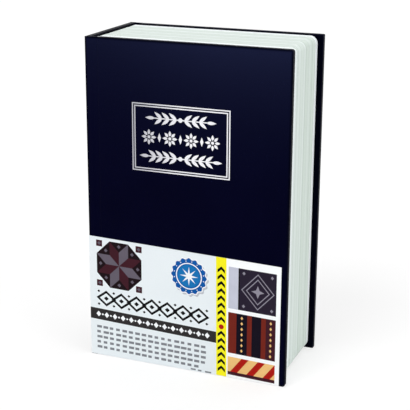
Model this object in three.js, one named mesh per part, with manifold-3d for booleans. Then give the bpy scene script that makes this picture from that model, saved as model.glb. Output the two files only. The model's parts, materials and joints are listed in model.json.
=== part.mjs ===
// A safe that looks like a book: hard covers round a moulded page block with a steel box inside.
// Millimetres. x runs from the spine to the fore-edge, y from the front cover to the back cover,
// z up. The book is closed and stands on its lower edges, with the origin under its middle.
import * as THREE from "three";
import { mergeVertices } from "three/addons/utils/BufferGeometryUtils.js";
import Module from "manifold-3d";

const wasm = await Module();
wasm.setup();

// Closed book, over everything
const bookWidth = 114;
const bookHeight = 180;
const bookDepth = 57;

// Covers and spine
const skin = 0.5;
const boardThickness = 2;
const turnIn = 12;
const linerPaper = 0.3;
const linerMargin = 4.2;
const frontCorner = 1.4;
const backCorner = 0.7;
const coverEdge = 0.45;
const jointWidth = 4;
const jointDip = 0.25;

// Paper label on the front cover
const labelPaper = 0.2;
const labelMargin = 3.2;
const labelTop = 70.3;
const labelFall = 3.1;

// Page block
const foreSquare = 3;
const headSquare = 0.8;
const tailSquare = 1.2;
const blockCorner = 4;
const blockSpineCorner = 0.8;
const blockWall = 2.2;
const blockFlange = 2.4;
const blockWeb = 2;
const rimBand = 3.6;
const rimSides = 7.5;
const rimEnds = 8.5;
const gatherings = 10;
const grooveDepth = 0.45;
const headGrooveShare = 0.4;
const bossRadius = 4.5;
const bossInset = 26;
const bossHeight = 2.5;

// Steel box and door
const sheet = 1;
const boxRecess = 0.5;
const doorRecess = 2.7;
const lipWidth = 5;
const legDepth = 6;
const frameSetback = 7;
const boxCorner = 1.5;

// Butt hinges
const knuckleRadius = 1.9;
const pinRadius = 1;
const pinHead = 1.6;
const pinHeadHeight = 0.5;
const knuckleGap = 0.4;
const leafSheet = 0.8;
const hingeLength = 26;
const hingeSpread = 48;
const fixedLeafWidth = 10;
const doorLeafWidth = 14;

// Cam lock
const lockInset = 19.15;
const bezelRadius = 10.5;
const bezelHeight = 2;
const barrelRadius = 8;
const barrelFlat = 7;
const barrelLength = 12;
const plugRadius = 6;
const keySlot = 1.4;
const keyHeight = 7.8;
const nutHalf = 11;
const nutHeight = 2.8;
const washerSheet = 0.6;
const camSheet = 1.6;
const camReach = 15.5;
const camHalfWidth = 4.5;
const camHub = 7;
const camWasherRadius = 5.2;
const camWasherSheet = 0.8;
const camScrewHead = 3.6;
const camScrewHeight = 2;
const camScrewShank = 1.8;
const camScrewLength = 7;
const tang = 3;
const tongue = 7;
const strikeHalf = 11;
const strikeSheet = 1.2;
const strikeLeg = 11;

// Screws that hold the box
const screwHead = 3.4;
const screwHeight = 1.7;
const screwShank = 1.5;
const screwLength = 4.6;

// Clearances
const glue = 0.1;
const fit = 0.3;
const running = 0.1;
const closing = 0.5;

// Depth of one cover, bare and lined, and the strip of leatherette beside the spine
const slab = boardThickness + 2 * (skin + glue);
const lined = slab + glue + linerPaper;
const jointSkin = skin + glue;
const jointLength = slab + jointWidth;

// Outer faces of the two covers, and the two edges of the spine strip
const frontFace = -bookDepth / 2 + labelPaper + glue;
const backFace = bookDepth / 2;
const spineFront = frontFace + jointSkin + fit;
const spineBack = backFace - jointSkin - fit;

// Page block limits
const blockLeft = -bookWidth / 2 + lined + closing;
const blockRight = bookWidth / 2 - foreSquare;
const blockFoot = tailSquare;
const blockHead = bookHeight - headSquare;
const blockFront = frontFace + lined + closing;
const blockBack = backFace - lined - glue;

// Steel box: half width, half height, and its depths from front to back
const boxX = (blockLeft + blockRight) / 2;
const boxZ = (blockFoot + blockHead) / 2;
const boxHalfX = (blockRight - blockLeft) / 2 - rimSides - fit;
const boxHalfZ = (blockHead - blockFoot) / 2 - rimEnds - fit;
const boxFront = blockFront + boxRecess;
const bossFront = blockBack - blockWeb - bossHeight;
const boxBack = bossFront - glue;
const doorFront = blockFront + doorRecess;
const doorBack = doorFront + sheet;

// Hinge axis, measured from the middle of the box
const hingeX = -boxHalfX + sheet + glue + knuckleRadius;
const hingeY = doorBack + glue + knuckleRadius;
const doorLeft = hingeX + knuckleRadius + closing;
const doorRight = boxHalfX - sheet - closing;
const doorHalfZ = boxHalfZ - sheet - closing;
const flangeBack = hingeY - fit;

// Middle of the lock, and its depths
const lockX = boxHalfX - lockInset;
const bezelFront = doorFront - glue - bezelHeight;
const barrelBack = doorBack + barrelLength;
const camFront = barrelBack + 0.2;
const camBack = camFront + camSheet;
const plugFront = bezelFront + fit;

// A closed geometry as a solid that can be joined and cut.
function solid(geometry) {
  const bare = geometry.index ? geometry.toNonIndexed() : geometry.clone();
  bare.deleteAttribute("normal");
  bare.deleteAttribute("uv");
  const merged = mergeVertices(bare, 1e-4);
  return new wasm.Manifold(new wasm.Mesh({
    numProp: 3,
    vertProperties: new Float32Array(merged.attributes.position.array),
    triVerts: new Uint32Array(merged.index.array),
  }));
}

// A solid as a geometry again, with flat faces.
function geometryOf(body) {
  const { vertProperties, triVerts } = body.getMesh();
  const indexed = new THREE.BufferGeometry();
  indexed.setAttribute("position", new THREE.BufferAttribute(vertProperties, 3));
  indexed.setIndex(new THREE.BufferAttribute(triVerts, 1));
  const geometry = indexed.toNonIndexed();
  geometry.computeVertexNormals();
  return geometry;
}

// The first geometry with the others joined to it.
function joined(first, ...others) {
  return others.reduce((body, other) => body.add(solid(other)), solid(first));
}

// An upright rectangle in x and z, with one corner radius at the left and one at the right.
function rectangle(x0, x1, z0, z1, left = 0, right = left) {
  const shape = new THREE.Shape();
  const quarter = Math.PI / 2;
  shape.moveTo(x0 + left, z0).lineTo(x1 - right, z0);
  if (right) shape.absarc(x1 - right, z0 + right, right, -quarter, 0);
  shape.lineTo(x1, z1 - right);
  if (right) shape.absarc(x1 - right, z1 - right, right, 0, quarter);
  shape.lineTo(x0 + left, z1);
  if (left) shape.absarc(x0 + left, z1 - left, left, quarter, 2 * quarter);
  shape.lineTo(x0, z0 + left);
  if (left) shape.absarc(x0 + left, z0 + left, left, 2 * quarter, 3 * quarter);
  return shape;
}

// A plate with an outline in x and z that fills y from front to back, its edges rounded on request.
function plate(outline, front, back, edge = 0, curveSegments = 5) {
  const bevel = {
    bevelEnabled: edge > 0,
    bevelThickness: edge,
    bevelSize: edge,
    bevelOffset: -edge,
    bevelSegments: 3,
  };
  return new THREE.ExtrudeGeometry(outline, { depth: back - front - 2 * edge, curveSegments, ...bevel })
    .rotateX(Math.PI / 2)
    .translate(0, back - edge, 0);
}

function block(x0, x1, y0, y1, z0, z1) {
  return new THREE.BoxGeometry(x1 - x0, y1 - y0, z1 - z0)
    .translate((x0 + x1) / 2, (y0 + y1) / 2, (z0 + z1) / 2);
}

// A round bar along y.
function bar(x, z, radius, front, back, segments = 20) {
  return new THREE.CylinderGeometry(radius, radius, back - front, segments)
    .translate(x, (front + back) / 2, z);
}

// A turned piece about the y axis from [radius, y] points, listed anticlockwise.
function turned(points, segments = 24) {
  return new THREE.LatheGeometry(points.map(([r, y]) => new THREE.Vector2(r, y)), segments);
}

function piece(parent, name, geometry, color, roughness, metalness = 0) {
  const material = new THREE.MeshStandardMaterial({ color, roughness, metalness });
  const mesh = new THREE.Mesh(geometry, material);
  mesh.name = name;
  parent.add(mesh);
}

// Covers and spine are made lying the same way: x across, y inward from the outer face, z up.

// Leatherette drawn round one board and turned in along all four sides.
function wrapSolid(x0, x1, leftCorner, rightCorner) {
  const outline = rectangle(x0, x1, 0, bookHeight, leftCorner, rightCorner);
  const cavity = rectangle(x0 + skin, x1 - skin, skin, bookHeight - skin);
  const window = rectangle(x0 + turnIn, x1 - turnIn, turnIn, bookHeight - turnIn);
  return solid(plate(outline, 0, slab, coverEdge))
    .subtract(solid(plate(cavity, skin, slab - skin)))
    .subtract(solid(plate(window, slab - skin - glue, slab + 1)));
}

// The strip that bridges the joint from the corner of the spine, with a shallow groove.
function jointStrip() {
  const shape = new THREE.Shape();
  const slope = 0.8;
  const end = jointLength + skin - glue;
  shape.moveTo(0, 0.2);
  shape.lineTo(0.2, 0);
  shape.lineTo(slab, 0);
  shape.lineTo(slab + slope, jointDip);
  shape.lineTo(end, jointDip);
  shape.lineTo(end, jointDip + jointSkin);
  shape.lineTo(slab + slope, jointDip + jointSkin);
  shape.lineTo(slab, jointSkin);
  shape.lineTo(0, jointSkin);
  return new THREE.ExtrudeGeometry(shape, { depth: bookHeight, bevelEnabled: false });
}

function boardGeometry(x0, x1) {
  const gap = skin + glue;
  return plate(rectangle(x0 + gap, x1 - gap, gap, bookHeight - gap), gap, slab - gap);
}

// Pasted paper: one sheet over the turned-in edges, thicker inside them where it meets the board.
function linerGeometry(x0, x1) {
  const m = linerMargin;
  const pad = turnIn + fit;
  const sheetPart = plate(rectangle(x0 + m, x1 - m, m, bookHeight - m), slab + glue, lined);
  const padPart = plate(
    rectangle(x0 + pad, x1 - pad, pad, bookHeight - pad), slab - skin, lined - glue);
  return geometryOf(joined(sheetPart, padPart));
}

const navy = 0x0b0b2b;
const grey = 0x8d8a80;
const ivory = 0xdfe0d8;

function addCover(parent, side, corner) {
  const wrap = wrapSolid(jointLength, bookWidth, 0.6, corner).add(solid(jointStrip()));
  piece(parent, `${side}_wrap`, geometryOf(wrap), navy, 0.5);
  piece(parent, `${side}_board`, boardGeometry(jointLength, bookWidth), grey, 0.9);
  piece(parent, `${side}_liner`, linerGeometry(jointLength, bookWidth), ivory, 0.9);
}

function frontCover() {
  const group = new THREE.Group();
  group.position.set(-bookWidth / 2, frontFace, 0);
  addCover(group, "front", frontCorner);
  // The label was laid on a little askew: its top edge falls towards the fore-edge.
  const label = new THREE.Shape();
  const labelEnd = bookWidth - labelMargin;
  label.moveTo(0, fit).lineTo(labelEnd, fit).lineTo(labelEnd, labelTop - labelFall).lineTo(0, labelTop);
  piece(group, "paper_label", plate(label, -glue - labelPaper, -glue), 0xd8dcde, 0.75);
  return group;
}

// The back cover is the front cover turned over about its middle.
function backCover() {
  const group = new THREE.Group();
  group.position.set(-bookWidth / 2, backFace, bookHeight);
  group.rotation.x = Math.PI;
  addCover(group, "back", backCorner);
  return group;
}

function spine() {
  const width = spineBack - spineFront;
  const group = new THREE.Group();
  group.position.set(-bookWidth / 2, spineBack, 0);
  group.rotation.z = -Math.PI / 2;
  piece(group, "spine_wrap", geometryOf(wrapSolid(0, width, 0.6, 0.6)), navy, 0.5);
  piece(group, "spine_board", boardGeometry(0, width), grey, 0.9);
  piece(group, "spine_liner", linerGeometry(0, width), ivory, 0.9);
  return group;
}

// Outline of the page block at one depth, drawn in by an inset on the three page sides.
function blockOutline(inset) {
  const ends = inset * headGrooveShare;
  const right = blockRight - inset;
  const foot = blockFoot + ends;
  const head = blockHead - ends;
  const rx = blockCorner - inset;
  const rz = blockCorner - ends;
  const s = blockSpineCorner;
  const corners = [
    [blockLeft + s, foot + s, s, s, Math.PI, 3],
    [right - rx, foot + rz, rx, rz, 1.5 * Math.PI, 7],
    [right - rx, head - rz, rx, rz, 0, 7],
    [blockLeft + s, head - s, s, s, Math.PI / 2, 3],
  ];
  return corners.flatMap(([x, z, a, b, start, steps]) =>
    Array.from({ length: steps + 1 }, (_, k) => {
      const angle = start + (k / steps) * (Math.PI / 2);
      return [x + a * Math.cos(angle), z + b * Math.sin(angle)];
    }));
}

// Depth and inset of each outline from front to back: plain rims, and between them uneven
// gatherings of pages with a groove between each two.
function blockStations() {
  const edge = 0.4;
  const first = blockFront + rimBand;
  const last = blockBack - rimBand;
  const rise = 0.5;
  const widths = Array.from({ length: gatherings }, (_, k) =>
    1 + 0.32 * Math.sin(2.1 * k + 0.6) + 0.16 * Math.sin(5.3 * k));
  const total = widths.reduce((sum, w) => sum + w, 0);
  const stations = [[blockFront, edge], [blockFront + edge, 0], [first - rise, 0], [first, grooveDepth]];
  let y = first;
  widths.forEach((w, k) => {
    const next = y + (w / total) * (last - first);
    const depth = grooveDepth * (0.85 + 0.35 * Math.cos(1.9 * (k - 5)));
    stations.push([y + rise, 0.16], [next - rise, 0.2]);
    stations.push([next, k < gatherings - 1 ? depth : grooveDepth]);
    y = next;
  });
  stations.push([last + rise, 0], [blockBack - edge, 0], [blockBack, edge]);
  return stations;
}

// A closed skin through a row of outlines that all have the same number of points.
function lofted(stations, outlineOf) {
  const rows = stations.map(([y, inset]) => outlineOf(inset).map(([x, z]) => [x, y, z]));
  const count = rows[0].length;
  const index = [];
  for (let row = 0; row < rows.length - 1; row++) {
    for (let k = 0; k < count; k++) {
      const a = row * count + k;
      const b = row * count + ((k + 1) % count);
      index.push(a, a + count, b, b, a + count, b + count);
    }
  }
  const top = (rows.length - 1) * count;
  for (let k = 1; k < count - 1; k++) {
    index.push(0, k, k + 1, top, top + k + 1, top + k);
  }
  const geometry = new THREE.BufferGeometry();
  geometry.setAttribute("position", new THREE.Float32BufferAttribute(rows.flat(2), 3));
  geometry.setIndex(index);
  return geometry;
}

// Places of the four box screws, from the middle of the box.
const screwPlaces = [[-1, -1], [1, -1], [-1, 1], [1, 1]].map(([x, z]) =>
  [x * (boxHalfX - bossInset / 2), z * (boxHalfZ - bossInset)]);

function pageBlock() {
  const inner = rectangle(
    blockLeft + blockWall, blockRight - blockWall, blockFoot + blockWall, blockHead - blockWall,
    0.6, blockCorner - blockWall);
  const opening = rectangle(
    boxX - boxHalfX - fit, boxX + boxHalfX + fit, boxZ - boxHalfZ - fit, boxZ + boxHalfZ + fit, boxCorner);
  let body = solid(lofted(blockStations(), blockOutline))
    .subtract(solid(plate(inner, blockFront + blockFlange, blockBack - blockWeb)))
    .subtract(solid(plate(opening, blockFront - 1, blockFront + blockFlange + 1)));
  for (const [x, z] of screwPlaces) {
    const boss = bar(boxX + x, boxZ + z, bossRadius, bossFront, blockBack - blockWeb / 2);
    body = body.add(solid(boss));
  }
  for (const [x, z] of screwPlaces) {
    const hole = bar(boxX + x, boxZ + z, screwShank + running, bossFront - 1, blockBack - fit - fit);
    body = body.subtract(solid(hole));
  }
  return geometryOf(body);
}

// The box and what it holds are made round the middle of the box in x and z.

function boxShell() {
  const inside = boxHalfX - sheet;
  const insideZ = boxHalfZ - sheet;
  const outer = rectangle(-boxHalfX, boxHalfX, -boxHalfZ, boxHalfZ, boxCorner);
  const hollow = rectangle(-inside, inside, -insideZ, insideZ, boxCorner - sheet);
  const hingeSide = block(
    -boxHalfX - 1, -inside + fit, boxFront - 1, hingeY - knuckleRadius, -insideZ + fit, insideZ - fit);
  let body = solid(plate(outer, boxFront, boxBack))
    .subtract(solid(plate(hollow, boxFront - 1, boxBack - sheet)))
    .subtract(solid(hingeSide));
  for (const [x, z] of screwPlaces) {
    body = body.subtract(solid(bar(x, z, screwShank + fit, boxBack - sheet - 1, boxBack + 1)));
  }
  return geometryOf(body);
}

// Steel angle round the head, fore-edge and foot of the box, for the door to close on.
function stopFrame() {
  const outX = boxHalfX - sheet - glue;
  const outZ = boxHalfZ - sheet - glue;
  const left = -outX + frameSetback;
  const front = hingeY;
  const back = front + legDepth;
  const outer = rectangle(left, outX, -outZ, outZ, 0, boxCorner);
  const legs = rectangle(left - 1, outX - sheet, -outZ + sheet, outZ - sheet, 0, boxCorner - sheet);
  const mouth = rectangle(left - 2, outX - lipWidth, -outZ + lipWidth, outZ - lipWidth);
  return geometryOf(solid(plate(outer, front, back))
    .subtract(solid(plate(legs, front + sheet, back + 1)))
    .subtract(solid(plate(mouth, front - 1, front + sheet + 1))));
}

// Bracket on the fore-edge wall, whose tongue the cam turns behind.
function strikePlate() {
  const right = boxHalfX - sheet - glue;
  const back = camFront - 2 * fit;
  const front = back - strikeSheet;
  const shape = rectangle(right - tongue, right, -strikeHalf, strikeHalf, 1.5, 0);
  const leg = block(right - sheet, right, front, back + strikeLeg, -strikeHalf, strikeHalf);
  return geometryOf(joined(plate(shape, front, back), leg));
}

function doorPanel() {
  const outer = rectangle(doorLeft, doorRight, -doorHalfZ, doorHalfZ, 0.6, 1.2);
  const pocket = rectangle(
    doorLeft - 1, doorRight - sheet, -doorHalfZ + sheet, doorHalfZ - sheet, 0, 0.4);
  const hole = bar(lockX, 0, barrelRadius + fit, doorFront - 1, doorBack + 1, 28);
  const flats = block(
    lockX - nutHalf, lockX + nutHalf, doorFront - 1, doorBack + 1,
    -barrelFlat - fit, barrelFlat + fit);
  return geometryOf(solid(plate(outer, doorFront, flangeBack))
    .subtract(solid(plate(pocket, doorBack, flangeBack + 1)))
    .subtract(solid(hole).intersect(solid(flats))));
}

// Bezel and barrel in one turned piece, with two flats that stop it turning in the door.
function lockHousing() {
  const bore = plugRadius + running;
  const front = bezelFront;
  const seat = front + bezelHeight;
  const profile = [
    [bore, front], [bezelRadius - 1.2, front], [bezelRadius - 0.35, front + 0.35],
    [bezelRadius, front + 1.1], [bezelRadius, seat], [barrelRadius, seat],
    [barrelRadius, barrelBack], [bore, barrelBack], [bore, front],
  ];
  const body = solid(turned(profile, 36));
  const wide = nutHalf + 1;
  const upper = block(-wide, wide, seat, barrelBack + 1, barrelFlat, wide);
  const lower = block(-wide, wide, seat, barrelBack + 1, -wide, -barrelFlat);
  return geometryOf(body.subtract(solid(upper)).subtract(solid(lower)));
}

function lockNut() {
  const shape = new THREE.Shape();
  const corner = nutHalf / Math.cos(Math.PI / 6);
  for (let k = 0; k < 6; k++) {
    const angle = Math.PI / 2 + (k * Math.PI) / 3;
    const point = [corner * Math.cos(angle), corner * Math.sin(angle)];
    if (k) shape.lineTo(...point);
    else shape.moveTo(...point);
  }
  shape.holes.push(new THREE.Path().absarc(0, 0, barrelRadius + fit, 0, 2 * Math.PI, true));
  const front = doorBack + glue + washerSheet + glue;
  return plate(shape, front, front + nutHeight, 0, 24);
}

function ring(inner, outer, front, back) {
  return turned([[inner, front], [outer, front], [outer, back], [inner, back], [inner, front]], 28);
}

// Plug with its keyway, and a square tang behind for the cam.
function lockPlug() {
  const shoulder = camFront - running;
  const profile = [
    [0, plugFront], [plugRadius - 0.3, plugFront], [plugRadius, plugFront + 0.3],
    [plugRadius, shoulder], [0, shoulder],
  ];
  const half = keySlot / 2;
  const keyway = block(-half, half, plugFront - 1, plugFront + barrelLength, -keyHeight / 2, keyHeight / 2);
  const ward = block(-half - 0.8, half, plugFront - 1, plugFront + barrelLength, -1.1, 0.3);
  const square = block(-tang, tang, shoulder - 1, camBack - glue, -tang, tang);
  const thread = bar(0, 0, camScrewShank + running, camBack - camScrewLength, camBack + 1);
  return geometryOf(joined(turned(profile, 32), square)
    .subtract(joined(keyway, ward))
    .subtract(solid(thread)));
}

// Flat cam: a round hub with an arm that points down when the lock is open.
function lockCam() {
  const shape = new THREE.Shape();
  const lean = Math.asin(camHalfWidth / camHub);
  const neck = -camHub * Math.cos(lean);
  shape.moveTo(camHalfWidth, neck);
  shape.absarc(0, 0, camHub, -Math.PI / 2 + lean, 1.5 * Math.PI - lean);
  shape.lineTo(-camHalfWidth, -camReach + 1.5);
  shape.lineTo(-camHalfWidth + 1.5, -camReach);
  shape.lineTo(camHalfWidth - 1.5, -camReach);
  shape.lineTo(camHalfWidth, -camReach + 1.5);
  const eye = tang + running;
  const hole = new THREE.Path();
  hole.moveTo(-eye, -eye).lineTo(-eye, eye).lineTo(eye, eye).lineTo(eye, -eye);
  shape.holes.push(hole);
  return plate(shape, camFront, camBack, 0, 16);
}

// Pan-head screw along y with a cross recess: head behind, thread towards the front.
function panScrew(seat, headRadius, headHeight, shankRadius, length) {
  const top = seat + headHeight;
  const profile = [
    [0, seat - length], [shankRadius, seat - length], [shankRadius, seat],
    [headRadius, seat], [headRadius, seat + 0.45 * headHeight],
    [headRadius * 0.72, top - 0.08 * headHeight], [0, top],
  ];
  const arm = headRadius * 0.55;
  const deep = top - 0.55 * headHeight;
  const slots = joined(
    block(-arm, arm, deep, top + 1, -0.4, 0.4), block(-0.4, 0.4, deep, top + 1, -arm, arm));
  return geometryOf(solid(turned(profile, 20)).subtract(slots));
}

// The hinges are made about their own axis at their own middle: knuckles along z.

const knuckle = (hingeLength - 2 * knuckleGap) / 3;

function knuckleAt(z0, z1) {
  return ring(pinRadius + running, knuckleRadius, z0, z1).rotateX(Math.PI / 2);
}

// Leaf on the box wall, with a knuckle at each end and a gap for the door's knuckle.
function fixedLeaf() {
  const half = hingeLength / 2;
  const clear = knuckleRadius + knuckleGap;
  const outer = -knuckleRadius;
  const inner = outer + leafSheet;
  return geometryOf(joined(
    block(outer, inner, clear, fixedLeafWidth, -half, half),
    block(outer, inner, 0, clear + 0.1, -half, -half + knuckle),
    block(outer, inner, 0, clear + 0.1, half - knuckle, half),
    knuckleAt(-half, -half + knuckle), knuckleAt(half - knuckle, half)));
}

// Leaf on the inside of the door, with one knuckle in its middle.
function doorLeaf() {
  const half = hingeLength / 2;
  const clear = knuckleRadius + knuckleGap;
  const front = -knuckleRadius;
  const back = front + leafSheet;
  return geometryOf(joined(
    block(clear, doorLeafWidth, front, back, -half, half),
    block(0, clear + 0.1, front, back, -knuckle / 2, knuckle / 2),
    knuckleAt(-knuckle / 2, knuckle / 2)));
}

// Riveted pin with a low head at each end.
function hingePin() {
  const end = hingeLength / 2 + running;
  const tip = end + pinHeadHeight;
  const edge = end + 0.4 * pinHeadHeight;
  const crown = 0.75 * pinHead;
  const profile = [
    [0, -tip], [crown, -tip], [pinHead, -edge], [pinHead, -end], [pinRadius, -end],
    [pinRadius, end], [pinHead, end], [pinHead, edge], [crown, tip], [0, tip],
  ];
  return turned(profile, 16).rotateX(Math.PI / 2);
}

const black = 0x17181a;
const zinc = 0xb9bcc0;

function steelBox() {
  const group = new THREE.Group();
  group.position.set(boxX, 0, boxZ);
  piece(group, "box_shell", boxShell(), black, 0.55, 0.3);
  piece(group, "stop_frame", stopFrame(), black, 0.55, 0.3);
  piece(group, "strike_plate", strikePlate(), zinc, 0.4, 0.9);
  screwPlaces.forEach(([x, z], k) => {
    const screw = new THREE.Group();
    screw.position.set(x, boxBack - sheet - glue, z);
    screw.rotation.x = Math.PI;
    const shape = panScrew(0, screwHead, screwHeight, screwShank, screwLength);
    piece(screw, `box_screw_${k + 1}`, shape, zinc, 0.35, 0.9);
    group.add(screw);
  });
  for (const [place, z] of [["lower", -hingeSpread], ["upper", hingeSpread]]) {
    const hinge = new THREE.Group();
    hinge.position.set(hingeX, hingeY, z);
    piece(hinge, `hinge_leaf_fixed_${place}`, fixedLeaf(), black, 0.5, 0.4);
    piece(hinge, `hinge_pin_${place}`, hingePin(), zinc, 0.35, 0.9);
    group.add(hinge);
  }
  return group;
}

function door() {
  const group = new THREE.Group();
  group.position.set(boxX, 0, boxZ);
  piece(group, "door_panel", doorPanel(), black, 0.55, 0.3);
  for (const [place, z] of [["lower", -hingeSpread], ["upper", hingeSpread]]) {
    const hinge = new THREE.Group();
    hinge.position.set(hingeX, hingeY, z);
    piece(hinge, `hinge_leaf_door_${place}`, doorLeaf(), black, 0.5, 0.4);
    group.add(hinge);
  }
  group.add(camLock());
  return group;
}

function camLock() {
  const group = new THREE.Group();
  group.position.set(lockX, 0, 0);
  const washerFront = doorBack + glue;
  const washer = ring(barrelRadius + fit, nutHalf, washerFront, washerFront + washerSheet);
  const camWasherFront = camBack + glue;
  const camWasherBack = camWasherFront + camWasherSheet;
  const camWasher = ring(camScrewShank + fit, camWasherRadius, camWasherFront, camWasherBack);
  const screw = panScrew(camWasherBack + glue, camScrewHead, camScrewHeight, camScrewShank, camScrewLength);
  piece(group, "lock_housing", lockHousing(), 0xc9ccd0, 0.15, 1);
  piece(group, "lock_washer", washer, zinc, 0.4, 0.9);
  piece(group, "lock_nut", lockNut(), zinc, 0.4, 0.9);
  piece(group, "lock_plug", lockPlug(), 0xb5b8bc, 0.25, 1);
  piece(group, "lock_cam", lockCam(), zinc, 0.4, 0.9);
  piece(group, "cam_washer", camWasher, zinc, 0.4, 0.9);
  piece(group, "cam_screw", screw, zinc, 0.35, 0.9);
  return group;
}

const book = new THREE.Group();
book.add(backCover(), spine(), frontCover());
piece(book, "page_block", pageBlock(), 0xd9e2dc, 0.6);
book.add(steelBox(), door());

export default book;
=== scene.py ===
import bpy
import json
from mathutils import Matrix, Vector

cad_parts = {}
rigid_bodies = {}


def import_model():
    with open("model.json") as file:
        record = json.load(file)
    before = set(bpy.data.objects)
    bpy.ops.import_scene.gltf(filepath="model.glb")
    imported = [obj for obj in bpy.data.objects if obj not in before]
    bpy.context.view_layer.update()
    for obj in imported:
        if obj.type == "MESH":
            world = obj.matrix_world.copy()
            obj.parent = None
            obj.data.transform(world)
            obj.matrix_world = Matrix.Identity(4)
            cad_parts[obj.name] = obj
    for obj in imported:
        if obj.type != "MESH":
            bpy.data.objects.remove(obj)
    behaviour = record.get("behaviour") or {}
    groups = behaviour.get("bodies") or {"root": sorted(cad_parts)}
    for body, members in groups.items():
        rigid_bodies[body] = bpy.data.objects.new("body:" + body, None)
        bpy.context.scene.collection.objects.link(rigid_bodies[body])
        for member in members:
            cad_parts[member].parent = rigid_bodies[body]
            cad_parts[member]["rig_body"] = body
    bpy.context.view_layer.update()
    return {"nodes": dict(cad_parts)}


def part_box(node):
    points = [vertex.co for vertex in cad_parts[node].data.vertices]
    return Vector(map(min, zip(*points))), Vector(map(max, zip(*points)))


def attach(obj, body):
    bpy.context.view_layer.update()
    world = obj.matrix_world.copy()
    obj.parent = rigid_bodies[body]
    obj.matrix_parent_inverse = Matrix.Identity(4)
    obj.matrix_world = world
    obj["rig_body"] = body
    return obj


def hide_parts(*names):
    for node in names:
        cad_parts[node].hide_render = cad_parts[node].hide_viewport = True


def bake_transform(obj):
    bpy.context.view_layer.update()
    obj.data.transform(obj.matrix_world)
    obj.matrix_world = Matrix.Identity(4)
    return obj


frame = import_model()

# A book safe standing on a pale floor. Lengths are metres in the frame of the solids: x from the
# spine to the fore-edge, y from the front cover to the back cover, z up.
import json
import math

import bmesh
import bpy
from mathutils import Matrix, Vector
from mathutils.geometry import tessellate_polygon

MM = 0.001
TURN = 2 * math.pi


# Node trees

def add(tree, kind, settings=(), inputs=()):
    """A node with its settings, and for each input a plain value or the output that feeds it."""
    made = tree.nodes.new(kind)
    for key, value in dict(settings).items():
        setattr(made, key, value)
    for key, value in dict(inputs).items():
        if isinstance(value, bpy.types.NodeSocket):
            tree.links.new(value, made.inputs[key])
        else:
            made.inputs[key].default_value = value
    return made


def first(tree, kind):
    """The first node of a kind."""
    return next(n for n in tree.nodes if n.type == kind)


def math_of(tree, operation, *values, clamp=False):
    settings = {"operation": operation, "use_clamp": clamp}
    return add(tree, "ShaderNodeMath", settings, dict(enumerate(values))).outputs[0]


def times(tree, one, other):
    return math_of(tree, "MULTIPLY", one, other)


def vector_of(tree, operation, *values):
    made = add(tree, "ShaderNodeVectorMath", {"operation": operation}, dict(enumerate(values)))
    return made.outputs["Value" if operation == "DOT_PRODUCT" else "Vector"]


def scaled(tree, vector, factor):
    inputs = {0: vector, "Scale": factor}
    return add(tree, "ShaderNodeVectorMath", {"operation": "SCALE"}, inputs).outputs["Vector"]


def parts_of(tree, vector):
    """The X, Y and Z of a vector."""
    return add(tree, "ShaderNodeSeparateXYZ", (), {0: vector}).outputs


def noise(tree, where, scale, detail, output="Fac", **others):
    inputs = {"Vector": where, "Scale": scale, "Detail": detail, **others}
    return add(tree, "ShaderNodeTexNoise", (), inputs).outputs[output]


def per(tree, length):
    """How often a length goes into a metre."""
    return math_of(tree, "DIVIDE", 1.0, length)


def eased(tree, value, low, high, to_low=0.0, to_high=1.0):
    """A value taken smoothly from one range to another."""
    inputs = dict(enumerate((value, low, high, to_low, to_high)))
    return add(tree, "ShaderNodeMapRange", {"interpolation_type": "SMOOTHSTEP"}, inputs).outputs[0]


def blended(tree, factor, first, second):
    """One colour going over into another."""
    made = add(tree, "ShaderNodeMix", {"data_type": "RGBA"}, {0: factor, 6: first, 7: second})
    return made.outputs[2]


def group_of(name, kind, inputs, outputs):
    """An empty node group with named inputs and outputs: the group, what it is given, and what it
    gives."""
    group = bpy.data.node_groups.new(name, kind)
    for label, socket_type, value in inputs:
        socket = group.interface.new_socket(label, in_out="INPUT", socket_type=socket_type)
        if value is not None:
            socket.default_value = value
    for label, socket_type in outputs:
        group.interface.new_socket(label, in_out="OUTPUT", socket_type=socket_type)
    return group, add(group, "NodeGroupInput").outputs, add(group, "NodeGroupOutput").inputs


def shader_group(name, inputs, outputs):
    return group_of(name, "ShaderNodeTree", inputs, outputs)


def place(tree, group, **inputs):
    """A group set into a tree; input names are written with underscores for spaces."""
    named = {key.replace("_", " "): value for key, value in inputs.items()}
    return add(tree, "ShaderNodeGroup", {"node_tree": group}, named).outputs


def object_place(tree):
    return add(tree, "ShaderNodeTexCoord").outputs["Object"]


FLOAT, VECTOR, WHOLE = "NodeSocketFloat", "NodeSocketVector", "NodeSocketInt"
GEOMETRY, MATERIAL = "NodeSocketGeometry", "NodeSocketMaterial"


# Effects that several finishes share

def leather_grain():
    """Pebbles of pressed leatherette, uneven in size, with fine creases over them."""
    tree, given, gives = shader_group(
        "Leather grain", [("Pebble", FLOAT, 0.7 * MM)], [("Height", FLOAT)])
    here = object_place(tree)
    warp = noise(tree, here, scale=420.0, detail=2.0, output="Color")
    push = scaled(tree, vector_of(tree, "SUBTRACT", warp, (0.5, 0.5, 0.5)), 0.9 * MM)
    cells = add(tree, "ShaderNodeTexVoronoi", {"feature": "DISTANCE_TO_EDGE"}, {
        "Vector": vector_of(tree, "ADD", here, push), "Scale": per(tree, given["Pebble"])})
    pebble = eased(tree, cells.outputs["Distance"], 0.0, 0.28)
    crease = noise(tree, here, scale=5200.0, detail=3.0)
    tree.links.new(math_of(tree, "MULTIPLY_ADD", crease, 0.3, pebble), gives["Height"])
    return tree


def from_sides(tree, here, given):
    """How far in from the nearer side of a box, along each axis."""
    return vector_of(tree, "MINIMUM", vector_of(tree, "SUBTRACT", here, given["Low"]),
                     vector_of(tree, "SUBTRACT", given["High"], here))


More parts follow.
